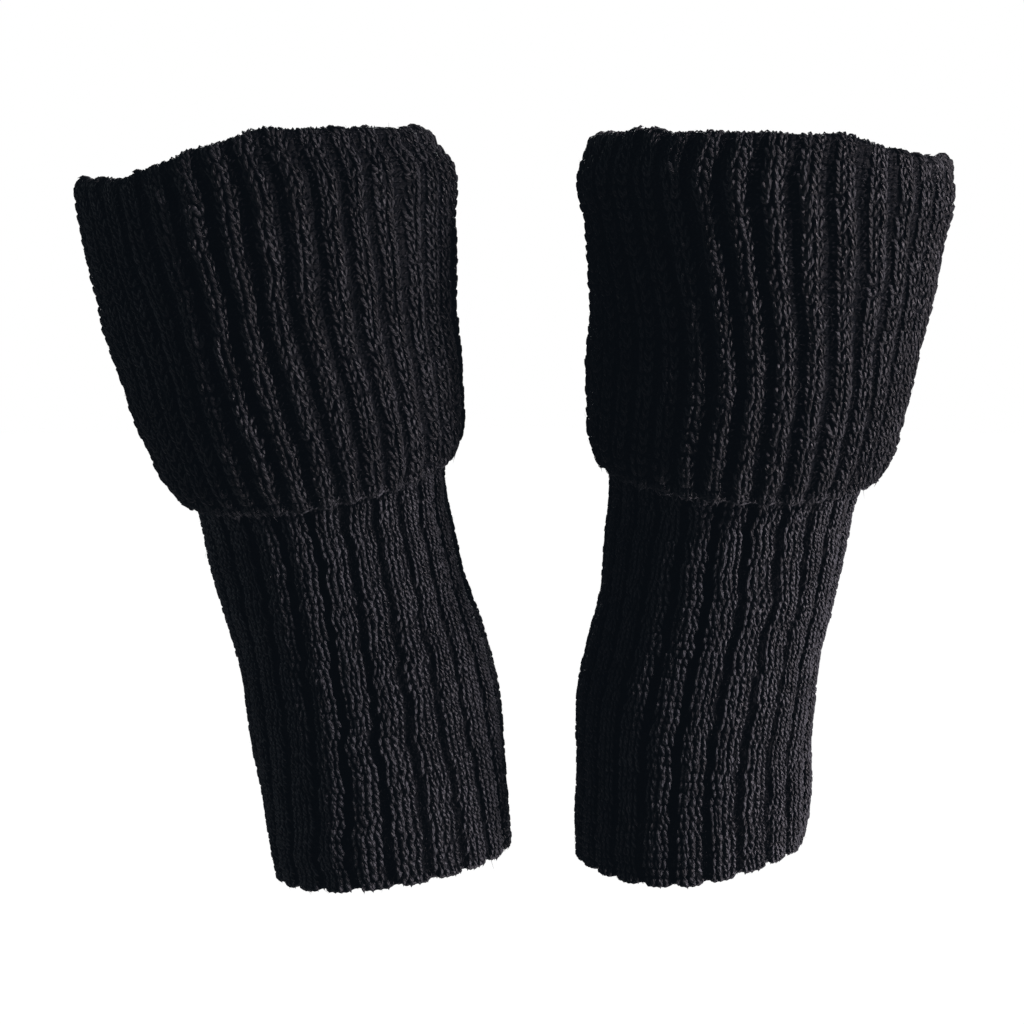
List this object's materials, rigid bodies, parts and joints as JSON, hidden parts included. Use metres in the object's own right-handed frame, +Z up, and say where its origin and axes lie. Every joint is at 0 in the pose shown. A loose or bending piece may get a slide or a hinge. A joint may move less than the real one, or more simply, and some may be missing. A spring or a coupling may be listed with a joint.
{
  "type": "pair of leg warmers",
  "caption": "Pair of ribbed knit leg warmers, filled out as worn, each an open tube whose finer ribbed top is turned down as a deep cuff.",
  "frame": {"origin": "midway between the two calves that hold the warmers up, at about half the height of the turned cuffs", "axes": "+Z up along the legs, front towards -Y, +X towards the warmer on the right as seen from the front"},
  "size_m": [0.3288, 0.1503, 0.2901],
  "materials": {
    "leg_knit": "matt charcoal yarn in wide ribs",
    "cuff_knit": "matt charcoal yarn in narrow ribs"
  },
  "bodies": {
    "root": {"left_leg_tube": "leg_knit", "left_turned_cuff": "cuff_knit", "right_leg_tube": "leg_knit", "right_turned_cuff": "cuff_knit"}
  },
  "joints": []
}
